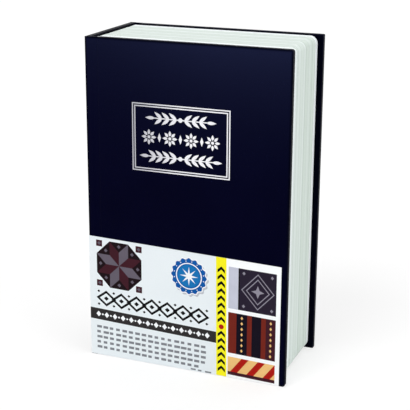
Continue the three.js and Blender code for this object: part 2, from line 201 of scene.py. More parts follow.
def rubbed_edges():
    """Where a box-shaped piece is rubbed: along its edges and most at its corners, in patches."""
    tree, given, gives = shader_group(
        "Rubbed edges",
        [("Low", VECTOR, (0, 0, 0)), ("High", VECTOR, (1, 1, 1)), ("Reach", FLOAT, MM),
         ("Patch", FLOAT, 6 * MM)],
        [("Mask", FLOAT)])

    def close(distance, reach):
        """1 at no distance, and 0 from the reach onwards."""
        share = math_of(tree, "DIVIDE", distance, reach)
        return math_of(tree, "SUBTRACT", 1.0, share, clamp=True)

    here = object_place(tree)
    near = parts_of(tree, from_sides(tree, here, given))
    lesser = math_of(tree, "MINIMUM", near[0], near[1])
    greater = math_of(tree, "MAXIMUM", near[0], near[1])
    second = math_of(tree, "MAXIMUM", lesser, math_of(tree, "MINIMUM", greater, near[2]))
    third = math_of(tree, "MAXIMUM", greater, near[2])
    edge = close(second, given["Reach"])
    corner = close(third, times(tree, given["Reach"], 6.0))
    patch = noise(tree, here, per(tree, given["Patch"]), 6.0, Roughness=0.65)
    broken = math_of(tree, "ADD", eased(tree, patch, 0.42, 0.66), corner)
    tree.links.new(math_of(tree, "MULTIPLY", edge, broken, clamp=True), gives["Mask"])
    return tree


def handling_marks():
    """Soft clouds left by hands and packing, for a finish that isn't quite even."""
    tree, given, gives = shader_group(
        "Handling marks", [("Size", FLOAT, 30 * MM)], [("Mask", FLOAT)])
    cloud = noise(tree, object_place(tree), per(tree, given["Size"]), 4.0, Roughness=0.55)
    tree.links.new(eased(tree, cloud, 0.3, 0.7), gives["Mask"])
    return tree


def paper_fibre():
    """Short fibres lying both ways in a sheet."""
    tree, given, gives = shader_group(
        "Paper fibre", [("Fibre", FLOAT, 0.5 * MM)], [("Height", FLOAT), ("Tone", FLOAT)])
    here, scale = object_place(tree), per(tree, given["Fibre"])
    waves = [noise(tree, vector_of(tree, "MULTIPLY", here, stretch), scale, 3.0)
             for stretch in ((1.0, 1.0, 3.5), (3.5, 1.0, 1.0))]
    both = times(tree, math_of(tree, "ADD", *waves), 0.5)
    tree.links.new(both, gives["Height"])
    tree.links.new(eased(tree, both, 0.35, 0.65), gives["Tone"])
    return tree


def drawn_lines():
    """Fine parallel lines, as rolling or brushing leaves them; Stretch is small along the lines."""
    tree, given, gives = shader_group(
        "Drawn lines", [("Stretch", VECTOR, (1, 1, 1)), ("Spacing", FLOAT, 0.2 * MM)],
        [("Height", FLOAT)])
    along = vector_of(tree, "MULTIPLY", object_place(tree), given["Stretch"])
    tree.links.new(noise(tree, along, per(tree, given["Spacing"]), 4.0), gives["Height"])
    return tree


def painted_cover_light():
    """Where a painted sheen lightens a cover's outer face, from its head downwards and more towards
    the fore-edge, and where painted shade darkens it along the board's edges and in recesses."""
    tree, given, gives = shader_group(
        "Faded cover",
        [("Low", VECTOR, (0, 0, 0)), ("High", VECTOR, (1, 1, 1)), ("Outward", VECTOR, (0, -1, 0)),
         ("Face", VECTOR, (0, 0, 0)), ("Depth", FLOAT, 30 * MM)],
        [("Painted_sheen", FLOAT), ("Flat", FLOAT)])
    here = object_place(tree)
    from_head = parts_of(tree, vector_of(tree, "SUBTRACT", here, given["High"]))["Z"]
    from_spine = parts_of(tree, vector_of(tree, "SUBTRACT", here, given["Low"]))["X"]
    to_face = vector_of(tree, "SUBTRACT", given["Face"], here)
    sunk = vector_of(tree, "DOT_PRODUCT", to_face, given["Outward"])
    through = vector_of(tree, "ABSOLUTE", given["Outward"])
    aside = parts_of(tree, vector_of(tree, "ADD", from_sides(tree, here, given), through))
    nearest = math_of(tree, "MINIMUM", math_of(tree, "MINIMUM", aside[0], aside[1]), aside[2])
    # The flat outer face, away from the board's edges and from recesses; off it goes painted shade
    flat = times(tree, eased(tree, nearest, 0.2 * MM, 1.7 * MM),
                 eased(tree, sunk, 1.1 * MM, 0.5 * MM))
    below = math_of(tree, "DIVIDE", from_head, given["Depth"])
    # Painted sheen, lighter towards the head and towards the fore-edge
    painted_sheen_share = times(tree, math_of(tree, "EXPONENT", below, clamp=True),
                   eased(tree, from_spine, 0.0, 80 * MM, 0.6, 1.1))
    tree.links.new(math_of(tree, "MULTIPLY", painted_sheen_share, flat, clamp=True), gives["Painted_sheen"])
    tree.links.new(flat, gives["Flat"])
    return tree


GRAIN, RUBBED, MARKS = leather_grain(), rubbed_edges(), handling_marks()
FIBRE, LINES, PAINTED_COVER_LIGHT = paper_fibre(), drawn_lines(), painted_cover_light()
PEBBLE = 0.62 * MM


# Finishes

def srgb(red, green, blue):
    """A colour picked from 0 to 255, as the shader wants it."""
    def linear(value):
        value /= 255
        return value / 12.92 if value <= 0.04045 else ((value + 0.055) / 1.055) ** 2.4
    return (linear(red), linear(green), linear(blue), 1.0)


def finish_of(name, **constants):
    """A material with a Principled shader, and the values that are the same all over it."""
    material = bpy.data.materials.new(name)
    material.use_nodes = True
    shader = first(material.node_tree, "BSDF_PRINCIPLED")
    for key, value in constants.items():
        shader.inputs[key.replace("_", " ")].default_value = value
    return material, material.node_tree


def finished(material, colour, rough, height, depth, **others):
    """Feeds the shader its colour, a roughness that rises from its least with a mask, a normal
    from a height with its depth, and other values by name."""
    tree = material.node_tree
    mask, least, spread = rough
    bump = add(tree, "ShaderNodeBump", (), {"Strength": 1.0, "Distance": depth, "Height": height})
    others.update({"Base Color": colour, "Normal": bump.outputs["Normal"],
                   "Roughness": math_of(tree, "MULTIPLY_ADD", mask, spread, least)})
    for key, value in others.items():
        tree.links.new(value, first(tree, "BSDF_PRINCIPLED").inputs[key])
    return material


def marks_of(tree, size):
    return place(tree, MARKS, Size=size)["Mask"]


def leatherette(name, node, outward):
    """Navy leatherette, with a painted sheen towards the head and painted shade along the board's
    edges and in recesses, and a little lighter where hands have rubbed it.
    """
    low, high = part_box(node)
    material, tree = finish_of(name, Specular_IOR_Level=0.04, Specular_Tint=srgb(150, 152, 235))
    grain = place(tree, GRAIN, Pebble=PEBBLE)["Height"]
    rubbed = place(tree, RUBBED, Low=low, High=high, Reach=0.8 * MM, Patch=5 * MM)["Mask"]
    marks = marks_of(tree, 38 * MM)
    cover = place(tree, PAINTED_COVER_LIGHT, Low=low, High=high, Outward=outward, Depth=27 * MM,
                  Face=high if sum(outward) > 0 else low)
    navy = blended(tree, marks, srgb(0, 0, 19), srgb(1, 1, 23))
    # Painted shade along the board's edges and in recesses, off the flat face
    navy = blended(tree, cover["Flat"], srgb(0, 1, 9), navy)
    # Painted sheen, lighter towards the head
    navy = blended(tree, cover["Painted_sheen"], navy, srgb(21, 25, 50))
    navy = blended(tree, times(tree, rubbed, 0.12), navy, srgb(44, 44, 78))
    return finished(material, navy, (marks, 0.42, 0.1), grain, 0.035 * MM)


def silver_foil(name, most_spine_shade):
    """Hot-stamped silver foil, thin where the grain below it is deep, with painted shade towards
    the spine by a share that is greatest at the left end of the title frame."""
    material, tree = finish_of(name, Metallic=0.8)
    across = parts_of(tree, object_place(tree))["X"]
    spine_shade = eased(tree, across, -31 * MM, 0.0, most_spine_shade, 0.0)
    grain = place(tree, GRAIN, Pebble=PEBBLE)["Height"]
    marks = marks_of(tree, 4 * MM)
    thin = eased(tree, grain, 0.35, 0.05)
    silver = blended(tree, marks, srgb(240, 240, 245), srgb(250, 250, 253))
    # Painted shade, darker towards the spine
    silver = blended(tree, spine_shade, silver, srgb(172, 172, 181))
    silver = blended(tree, times(tree, thin, 0.35), silver, srgb(120, 120, 138))
    return finished(material, silver, (marks, 0.3, 0.12), grain, 0.012 * MM)


def paper(name, light, dark, roughness, fibre=0.5 * MM, ground=None):
    """Matt paper. A printed ground is a place across it and the light and dark colours that it
    has on the spine's side of that place."""
    material, tree = finish_of(name)
    fibres, marks = place(tree, FIBRE, Fibre=fibre), marks_of(tree, 45 * MM)
    tone = math_of(tree, "MULTIPLY_ADD", marks, 0.5, times(tree, fibres["Tone"], 0.5))
    sheet = blended(tree, tone, light, dark)
    if ground:
        edge, pale, deep = ground
        across = parts_of(tree, object_place(tree))["X"]
        printed = eased(tree, across, edge + 0.1 * MM, edge - 0.1 * MM)
        sheet = blended(tree, printed, sheet, blended(tree, tone, pale, deep))
    return finished(material, sheet, (marks, roughness, 0.08), fibres["Height"], 0.02 * MM)


def ink(name, colour, shade):
    """Printing ink on the label's paper, mottled down to a share of its brightness."""
    material, tree = finish_of(name, Specular_IOR_Level=0.05)
    fibres, marks = place(tree, FIBRE, Fibre=0.35 * MM), marks_of(tree, 9 * MM)
    darker = (*(shade * value for value in colour[:3]), 1.0)
    mottled = math_of(tree, "MULTIPLY_ADD", marks, 0.6, times(tree, fibres["Tone"], 0.4))
    mottled = blended(tree, mottled, colour, darker)
    return finished(material, mottled, (marks, 0.42, 0.1), fibres["Height"], 0.012 * MM)


def page_plastic():
    """Pale moulded plastic, drawn into fine leaf lines, with painted shade down in the grooves, and
    darker on the front face round the door."""
    material, tree = finish_of("page plastic")
    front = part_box("page_block")[0].y
    depth = parts_of(tree, object_place(tree))["Y"]
    tone, groove = (add(tree, "ShaderNodeAttribute", {"attribute_name": name}).outputs["Fac"]
                    for name in ("tone", "groove"))
    leaves = place(tree, LINES, Stretch=(0.012, 1.0, 0.012), Spacing=0.3 * MM)["Height"]
    tone = times(tree, tone, eased(tree, depth, front, front + 0.3 * MM, 0.4, 1.0))
    body = blended(tree, tone, srgb(201, 213, 205), srgb(247, 252, 255))
    lined = eased(tree, leaves, 0.35, 0.7, 0.0, 0.3)
    body = blended(tree, lined, body, srgb(199, 211, 204))
    # Painted shade down in the grooves
    body = blended(tree, groove, body, srgb(170, 182, 176))
    return finished(material, body, (marks_of(tree, 25 * MM), 0.45, 0.12), leaves, 0.03 * MM)


def greyboard():
    material, tree = finish_of("greyboard")
    fibres = place(tree, FIBRE, Fibre=0.9 * MM)
    board = blended(tree, fibres["Tone"], srgb(140, 136, 126), srgb(112, 108, 100))
    return finished(material, board, (fibres["Tone"], 0.85, 0.1), fibres["Height"], 0.08 * MM)


def black_powder_coat(name, node):
    """Black powder coat on sheet steel, orange-peeled, with bare steel along rubbed edges."""
    low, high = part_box(node)
    material, tree = finish_of(name)
    peel = noise(tree, object_place(tree), scale=1100.0, detail=2.0)
    rubbed = place(tree, RUBBED, Low=low, High=high, Reach=0.5 * MM, Patch=4 * MM)["Mask"]
    marks, bare = marks_of(tree, 30 * MM), times(tree, rubbed, 0.6)
    coat = blended(tree, marks, srgb(26, 27, 29), srgb(38, 39, 42))
    coat = blended(tree, bare, coat, srgb(120, 122, 124))
    return finished(material, coat, (marks, 0.44, 0.12), peel, 0.06 * MM, Metallic=bare)


def plated(name, light, dark, patch, stretch, spacing, rough, depth):
    """Plated metal with faint lines, from drawing or wiping, and a cloudy film in patches."""
    material, tree = finish_of(name, Metallic=1.0)
    lines = place(tree, LINES, Stretch=(1.0, 1.0, stretch), Spacing=spacing)["Height"]
    marks = marks_of(tree, patch)
    film = blended(tree, marks, light, dark)
    return finished(material, film, (marks, *rough), lines, depth)


# Meshes

def in_scene(name, data):
    made = bpy.data.objects.new(name, data)
    bpy.context.scene.collection.objects.link(made)
    return made


def link(name, mesh, material, body, stands_for=(), smooth=30):
    """A finished piece, riding on its body and smooth where it turns by less than some degrees."""
    mesh.name = name
    mesh.materials.clear()
    mesh.materials.append(material)
    mesh.shade_smooth()
    mesh.set_sharp_from_angle(angle=math.radians(smooth))
    made = in_scene(name, mesh)
    if body:
        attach(made, body)
    if stands_for:
        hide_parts(*stands_for)
    return made


def mesh_from(shell, name):
    mesh = bpy.data.meshes.new(name)
    shell.to_mesh(mesh)
    shell.free()
    return mesh


def mesh_of(name, vertices, faces):
    """A mesh whose faces all point outwards."""
    mesh = bpy.data.meshes.new(name)
    mesh.from_pydata(vertices, [], faces)
    shell = bmesh.new()
    shell.from_mesh(mesh)
    bmesh.ops.recalc_face_normals(shell, faces=shell.faces)
    shell.to_mesh(mesh)
    shell.free()
    return mesh


def joined(name, meshes):
    """Several meshes as one."""
    whole = bmesh.new()
    for mesh in meshes:
        whole.from_mesh(mesh)
        bpy.data.meshes.remove(mesh)
    return mesh_from(whole, name)


def plate(loops, front, back):
    """A thin closed plate in x and z between two depths. The first loop is its outline and the
    others are holes."""
    points = [point for loop in loops for point in loop]
    count = len(points)
    vertices = [(x, front, z) for x, z in points] + [(x, back, z) for x, z in points]
    faces = []
    for a, b, c in tessellate_polygon([[Vector((x, z, 0)) for x, z in loop] for loop in loops]):
        faces += [(a, b, c), (count + c, count + b, count + a)]
    start = 0
    for loop in loops:
        ring = range(start, start + len(loop))
        faces += [(i, j, count + j, count + i) for i, j in zip(ring, [*ring[1:], ring[0]])]
        start += len(loop)
    return mesh_of("plate", vertices, faces)


def rectangle(x0, x1, z0, z1):
    return [(x0, z0), (x1, z0), (x1, z1), (x0, z1)]


def rule(x0, x1, z0, z1, width):
    """A rectangular frame of one width: its outline and its hole."""
    return [rectangle(x0, x1, z0, z1), rectangle(x0 + width, x1 - width, z0 + width, z1 - width)]


def lozenge(x, z, half_width, half_height):
    return [(x, z - half_height), (x + half_width, z), (x, z + half_height), (x - half_width, z)]


def around(x, z, reach, share):
    """The point at some reach from another, a share of a turn round from +x."""
    return x + reach * math.cos(TURN * share), z + reach * math.sin(TURN * share)


def round_of(x, z, radius, count=32, wave=0.0, waves=0):
    """A circle, or with a wave a scalloped one."""
    shares = [k / count for k in range(count)]
    return [around(x, z, radius + wave * math.cos(TURN * waves * s), s) for s in shares]


def star(x, z, outer, inner, points, turn=0.0):
    """A star with its first tip at the top, or turned from there."""
    ring = []
    for k in range(2 * points):
        angle = turn + TURN * k / (2 * points)
        reach = inner if k % 2 else outer
        ring.append((x + reach * math.sin(angle), z + reach * math.cos(angle)))
    return ring


def leaf(length, width, steps=7):
    """A pointed leaf along +x from the origin."""
    upper = [(length * k / steps, width * math.sin(math.pi * (k / steps) ** 0.8) / 2)
             for k in range(steps + 1)]
    return upper[::-1] + [(x, -z) for x, z in upper[1:-1]]


def flower(reach, petals):
    """The shapes of a flower: petals round an open ring, and a boss in the middle."""
    loops = []
    for k in range(petals):
        angle = TURN * k / petals
        across, along = math.cos(angle), math.sin(angle)
        petal = [(0.3 * reach + x, z) for x, z in leaf(0.7 * reach, 0.36 * reach)]
        loops.append([[(x * across - z * along, x * along + z * across) for x, z in petal]])
    return [*loops, [round_of(0, 0, 0.2 * reach, 16)]]


# Geometry Nodes

def geometry_group(name, inputs):
    return group_of(name, "GeometryNodeTree", inputs, [("Geometry", GEOMETRY)])


def ended(tree, geometry, material, gives):
    """Ends a tree with plain geometry of one material."""
    real = add(tree, "GeometryNodeRealizeInstances", (), {"Geometry": geometry})
    made = add(tree, "GeometryNodeSetMaterial", (), {
        "Geometry": real.outputs[0], "Material": material})
    tree.links.new(made.outputs[0], gives["Geometry"])
    return tree


def grown(name, tree, base=None, **values):
    """The plain mesh that a tree makes, from a base mesh if it takes one."""
    holder = in_scene(name, base or bpy.data.meshes.new(name))
    modifier = holder.modifiers.new(name, "NODES")
    modifier.node_group = tree
    inputs = {s.name: s.identifier for s in tree.interface.items_tree if s.in_out == "INPUT"}
    for key, value in values.items():
        modifier[inputs[key.replace("_", " ")]] = value
    bpy.context.view_layer.update()
    finished = holder.evaluated_get(bpy.context.evaluated_depsgraph_get())
    mesh = bpy.data.meshes.new_from_object(finished)
    holder.modifiers.remove(modifier)
    bpy.data.objects.remove(holder)
    return mesh


def motif_row_tree():
    """Copies of one motif along a straight line, all with the same lean."""
    tree, given, gives = geometry_group("Motif row", [
        ("Motif", "NodeSocketObject", None), ("Count", WHOLE, 4), ("Start", VECTOR, (0, 0, 0)),
        ("Step", VECTOR, (MM, 0, 0)), ("Lean", FLOAT, 0.0), ("Foil", MATERIAL, None)])
    line = add(tree, "GeometryNodeMeshLine", {"mode": "OFFSET"}, {
        "Count": given["Count"], "Start Location": given["Start"], "Offset": given["Step"]})
    motif = add(tree, "GeometryNodeObjectInfo", (), {"Object": given["Motif"]})
    turned = add(tree, "ShaderNodeCombineXYZ", (), {"Y": given["Lean"]})
    copies = add(tree, "GeometryNodeInstanceOnPoints", (), {
        "Points": line.outputs[0], "Instance": motif.outputs["Geometry"],
        "Rotation": turned.outputs[0]})
    return ended(tree, copies.outputs[0], given["Foil"], gives)


def printed_rules_tree():
    """Rows of short bars of uneven length, the lowest row cut short."""
    tree, given, gives = geometry_group("Printed rules", [
        ("Width", FLOAT, 60 * MM), ("Columns", WHOLE, 12), ("Rows", WHOLE, 5),
        ("Pitch", FLOAT, 2.5 * MM), ("Bar", FLOAT, 0.6 * MM), ("Depth", FLOAT, 0.02 * MM),
        ("Last row", FLOAT, 40 * MM), ("Fall", FLOAT, 0.0), ("Start", VECTOR, (0, 0, 0)),
        ("Seed", WHOLE, 3), ("Ink", MATERIAL, None)])
    gaps = math_of(tree, "SUBTRACT", given["Rows"], 1.0)
    tall = times(tree, gaps, given["Pitch"])
    cell = math_of(tree, "DIVIDE", given["Width"], given["Columns"])
    reach = math_of(tree, "SUBTRACT", given["Width"], cell)
    grid = add(tree, "GeometryNodeMeshGrid", (), {
        "Size X": reach, "Size Y": tall, "Vertices X": given["Columns"],
        "Vertices Y": given["Rows"]})
    here = parts_of(tree, add(tree, "GeometryNodeInputPosition").outputs[0])
    across = math_of(tree, "MULTIPLY_ADD", reach, 0.5, here["X"])
    up = math_of(tree, "MULTIPLY_ADD", tall, 0.5, here["Y"])
    fallen = math_of(tree, "SUBTRACT", up, times(tree, across, given["Fall"]))
    flat = add(tree, "ShaderNodeCombineXYZ", (), {"X": across, "Z": fallen})
    late = math_of(tree, "GREATER_THAN", across, given["Last row"])
    lowest = math_of(tree, "LESS_THAN", up, times(tree, given["Pitch"], 0.5))
    kept = add(tree, "GeometryNodeDeleteGeometry", {"domain": "POINT"}, {
        "Geometry": grid.outputs[0], "Selection": times(tree, late, lowest)})
    moved = add(tree, "GeometryNodeSetPosition", (), {
        "Geometry": kept.outputs[0],
        "Position": vector_of(tree, "ADD", flat.outputs[0], given["Start"])})
    bar = add(tree, "GeometryNodeMeshCube", (), {"Size": (1.0, 1.0, 1.0)})
    ahead = add(tree, "GeometryNodeTransform", (), {
        "Geometry": bar.outputs[0], "Translation": (0.5, 0.0, 0.0)})
    length = add(tree, "FunctionNodeRandomValue", {"data_type": "FLOAT"}, {
        2: 0.5, 3: 0.88, "Seed": given["Seed"]}).outputs[1]
    scale = add(tree, "ShaderNodeCombineXYZ", (), {
        "X": times(tree, length, cell), "Y": given["Depth"], "Z": given["Bar"]})
    bars = add(tree, "GeometryNodeInstanceOnPoints", (), {
        "Points": moved.outputs[0], "Instance": ahead.outputs[0], "Scale": scale.outputs[0]})
    return ended(tree, bars.outputs[0], given["Ink"], gives)


def leaf_edges_tree():
    """Draws the skin of the page block inwards into gatherings, and these into leaves."""
    tree, given, gives = geometry_group("Leaf edges", [
        ("Geometry", GEOMETRY, None), ("Step in", FLOAT, 0.17 * MM), ("Leaf", FLOAT, 0.05 * MM),
        ("Half width", FLOAT, 0.42 * MM), ("Waver", FLOAT, 0.05 * MM), ("Plastic", MATERIAL, None)])

    def named(name, kind="FLOAT"):
        made = add(tree, "GeometryNodeInputNamedAttribute", {"data_type": kind}, {"Name": name})
        return made.outputs[0]

    share = math_of(tree, "DIVIDE", named("from_groove"), given["Half width"])
    square = math_of(tree, "POWER", share, 2.0)
    dip = math_of(tree, "EXPONENT", times(tree, -1.0, square))
    extra = math_of(tree, "SUBTRACT", named("groove_depth"), given["Step in"])
    inset = math_of(tree, "MULTIPLY_ADD", extra, dip, given["Step in"])
    inset = math_of(tree, "MULTIPLY_ADD", named("leaf"), given["Leaf"], inset)
    here = add(tree, "GeometryNodeInputPosition").outputs[0]
    along = vector_of(tree, "MULTIPLY", here, (30.0, 900.0, 30.0))
    waver = times(tree, noise(tree, along, 1.0, 1.0), given["Waver"])
    inset = times(tree, math_of(tree, "ADD", inset, waver), named("leaves_here"))
    moved = add(tree, "GeometryNodeSetPosition", (), {
        "Geometry": given["Geometry"],
        "Offset": scaled(tree, named("inward", "FLOAT_VECTOR"), inset)})
    return ended(tree, moved.outputs[0], given["Plastic"], gives)


# Pieces taken over from the solids

def merged_copy(node, bevel=0.0):
    """A solid's mesh as one skin, with its sharp edges broken by the width of a bevel."""
    shell = bmesh.new()
    shell.from_mesh(frame["nodes"][node].data)
    bmesh.ops.remove_doubles(shell, verts=shell.verts, dist=0.002 * MM)
    bmesh.ops.dissolve_limit(
        shell, angle_limit=math.radians(0.4), verts=shell.verts, edges=shell.edges)
    if bevel:
        sharp = [e for e in shell.edges
                 if len(e.link_faces) == 2 and e.calc_face_angle() > math.radians(40)]
        bmesh.ops.bevel(shell, geom=sharp, offset=bevel, segments=2, profile=0.5, affect="EDGES",
                        clamp_overlap=True)
    return mesh_from(shell, node)


def dressed(node, material, bevel=0.0):
    """A piece with a solid's own shape, standing for it."""
    body = frame["nodes"][node]["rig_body"]
    made = link(f"{node}_dressed", merged_copy(node, bevel), material, body, [node],
                smooth=40)
    made.modifiers.new("weights", "WEIGHTED_NORMAL").keep_sharp = True


# Skin in the gaps between the spine and the two joint strips

STRIP_SKIN, FOLD_EDGE, FOLD_STEPS = 0.6 * MM, 0.4 * MM, 12


def fold(name, start, end, outer, inner, leather):
    """A strip of skin from one depth to the other, so many millimetres in from the spine's outer
    face."""
    low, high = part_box("spine_wrap")
    spare = math.copysign(0.01 * MM, end - start)
    left, right = low.x + outer * MM, low.x + inner * MM
    bottom, top = low.z + FOLD_EDGE, high.z - FOLD_EDGE
    vertices, faces = [], []
    for k in range(FOLD_STEPS + 1):
        y = start + spare + (end - start - 2 * spare) * k / FOLD_STEPS
        vertices += [(left, y, bottom), (right, y, bottom), (right, y, top), (left, y, top)]
    last = 4 * FOLD_STEPS
    for k in range(0, last, 4):
        faces += [(k + i, k + (i + 1) % 4, k + 4 + (i + 1) % 4, k + 4 + i) for i in range(4)]
    faces += [(0, 1, 2, 3), (last + 3, last + 2, last + 1, last)]
    made = link(name, mesh_of(name, vertices, faces), leather, None)
    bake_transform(made)


def folds():
    """One fold at the back, and two at the front, where a half turn leaves both sides open."""
    leather = leatherette("fold leatherette", "spine_wrap", (-1, 0, 0))
    spine_front, spine_back = (corner.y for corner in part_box("spine_wrap"))
    front_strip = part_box("front_wrap")[0].y + STRIP_SKIN
    back_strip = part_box("back_wrap")[1].y - STRIP_SKIN
    for name, bodies, start, end, outer, inner in (
            ("back_fold", ("case", "spine"), back_strip, spine_back, 0.02, 0.62),
            ("front_fold_outer", ("spine", "cover"), spine_front, front_strip, 0.02, 0.31),
            ("front_fold_inner", ("cover", "spine"), front_strip, spine_front, 0.33, 0.62)):
        fold(name, start, end, outer, inner, leather)


folds()

ZINC = plated("zinc plate", srgb(196, 199, 203), srgb(214, 213, 205), patch=6 * MM,
              stretch=0.06, spacing=0.12 * MM, rough=(0.3, 0.14), depth=0.01 * MM)
CHROME = plated("bright chrome", srgb(226, 228, 231), srgb(214, 216, 220), patch=5 * MM,
                stretch=0.3, spacing=0.4 * MM, rough=(0.08, 0.08), depth=0.002 * MM)
BOARD = greyboard()
LINER = paper("liner paper", srgb(228, 228, 218), srgb(214, 213, 201), roughness=0.78)
COAT_BEVEL, PLATE_BEVEL = 0.12 * MM, 0.08 * MM

for side, outward in (("front", (0, -1, 0)), ("back", (0, 1, 0)), ("spine", (-1, 0, 0))):
    skin = leatherette(f"{side} leatherette", f"{side}_wrap", outward)
    dressed(f"{side}_wrap", skin)
    dressed(f"{side}_board", BOARD)
    dressed(f"{side}_liner", LINER)

for node in ("box_shell", "stop_frame", "door_panel", "hinge_leaf_fixed_lower",
             "hinge_leaf_fixed_upper", "hinge_leaf_door_lower", "hinge_leaf_door_upper"):
    dressed(node, black_powder_coat(f"{node} coat", node), COAT_BEVEL)
for node in ("strike_plate", "box_screw_1", "box_screw_2", "box_screw_3", "box_screw_4",
             "hinge_pin_lower", "hinge_pin_upper", "lock_washer", "lock_nut", "lock_cam",
             "cam_washer", "cam_screw"):
    dressed(node, ZINC, PLATE_BEVEL)
for node in ("lock_housing", "lock_plug"):
    dressed(node, CHROME, PLATE_BEVEL)


# Page block

BLOCK_CORNER, SPINE_CORNER, HOLLOW_CORNER = 4 * MM, 0.8 * MM, 0.6 * MM
RIM, RIM_EDGE, RIM_STEP = 3.6 * MM, 0.4 * MM, 0.3 * MM

# Leaves lie in at the head and foot by a share of what they do at the fore-edge
END_SHARE = 0.4
GATHERINGS, GROOVE, LEAF_PITCH = 10, 0.45 * MM, 0.36 * MM

# Clean next to the front cover, over one depth at head and foot and another at the fore-edge
CLEAN_ENDS, CLEAN_SIDE, CLEAN_FADE = 7.0 * MM, 12.7 * MM, 1.0 * MM
CLEAN_TONE, CLEAN_LESS_AT_SIDE = 0.8, 0.15

# Painted shade: greyer at the fore-edge from some depth on
FORE_EDGE_SHADE, FORE_EDGE_SHADE_FROM, FORE_EDGE_SHADE_FADE = 0.26, 24.0 * MM, 7.0 * MM

OPENING_FIT, OPENING_CORNER = 0.3 * MM, 1.5 * MM
FLANGE, WALL, WEB = 2.4 * MM, 2.2 * MM, 2.0 * MM
BOSS, BOSS_HOLE, BOSS_GAP, HOLE_FLOOR = 4.5 * MM, 1.6 * MM, 0.1 * MM, 0.6 * MM


def corners_of(x0, x1, z0, z1, left, right, left_steps=6, right_steps=6):
    """Rounded corners with one radius on the left and one on the right. Each is a list of points,
    and with each point goes its direction from the corner's middle."""
    corners = []
    for x, z, radius, start, steps in (
            (x0 + left, z0 + left, left, TURN / 2, left_steps),
            (x1 - right, z0 + right, right, 0.75 * TURN, right_steps),
            (x1 - right, z1 - right, right, 0.0, right_steps),
            (x0 + left, z1 - left, left, TURN / 4, left_steps)):
        angles = [start + TURN / 4 * k / steps for k in range(steps + 1)]
        ways = [(math.cos(a), math.sin(a)) for a in angles]
        corners.append([((x + radius * way[0], z + radius * way[1]), way) for way in ways])
    return corners


def block_outline(low, high, step=6 * MM):
    """Points round the block, each with the way in which it is drawn inwards for the leaves."""
    corners = corners_of(low.x, high.x, low.z, high.z, SPINE_CORNER, BLOCK_CORNER, 4, 12)
    outline = []
    for k, corner in enumerate(corners):
        for point, out in corner:
            at_spine = k in (0, 3)
            side = 0.0 if at_spine else -out[0]
            end = (1.0 if k == 0 else -1.0) if at_spine else -out[1]
            outline.append((point, (side, END_SHARE * end)))
        (x0, z0), way = outline[-1]
        x1, z1 = corners[(k + 1) % 4][0][0]
        count = max(1, round(math.dist((x0, z0), (x1, z1)) / step))
        for j in range(1, count):
            t = j / count
            if k == 3:
                way = (0.0, END_SHARE * (2 * t - 1))
            outline.append(((x0 + (x1 - x0) * t, z0 + (z1 - z0) * t), way))
    return outline


def block_rows(front, back):
    """Rows of the skin from front to back: depth, share of the leaf shape, distance from the
    nearest groove, that groove's depth, ridge or valley of a leaf, tone and painted groove shade."""
    def plain(y, inset=0.0):
        """A row of the plain rims, which may lie in a little at their rounded edges."""
        return (y, 0.0, inset, 0.0, 0.0, 1.0, 0.0)

    first, last = front + RIM, back - RIM
    rim = [(0.0, 1.0), (0.1, 0.44), (0.35, 0.12), (1.0, 0.0)]
    rows = [plain(front + t * RIM_EDGE, inset * RIM_EDGE) for t, inset in rim]
    rows.append(plain(first - RIM_STEP))
    widths = [1 + 0.32 * math.sin(2.1 * k + 0.6) + 0.16 * math.sin(5.3 * k)
              for k in range(GATHERINGS)]
    depths = [GROOVE] + [GROOVE * (0.85 + 0.35 * math.cos(1.9 * (k - 5)))
                         for k in range(GATHERINGS - 1)] + [GROOVE]
    y = first
    for k, width in enumerate(widths):
        width *= (last - first) / sum(widths)
        count = 2 * round(width / LEAF_PITCH)
        tone = 0.22 + 0.16 * math.sin(2.7 * k + 1.1)
        for j in range(count if k < GATHERINGS - 1 else count + 1):
            near = min(j, count - j) / count * width
            depth = depths[k] if 2 * j < count else depths[k + 1]
            streak = 0.12 * math.sin(1.7 * j + 3.1 * k) + 0.08 * math.sin(0.6 * j + k)
            # Painted shade close to each groove, deeper where the groove is deeper
            groove_shade = 0.5 * math.exp(-(near / (0.5 * MM)) ** 2) * depth / GROOVE
            ridge = float(j % 2)
            rows.append((y + width * j / count, 1.0, near, depth, ridge, tone + streak, groove_shade))
        y += width
    rows.append(plain(last + RIM_STEP))
    return rows + [plain(back - t * RIM_EDGE, inset * RIM_EDGE) for t, inset in reversed(rim)]


def rounded_rectangle(*sides_and_radii):
    return [point for corner in corners_of(*sides_and_radii) for point, _ in corner]


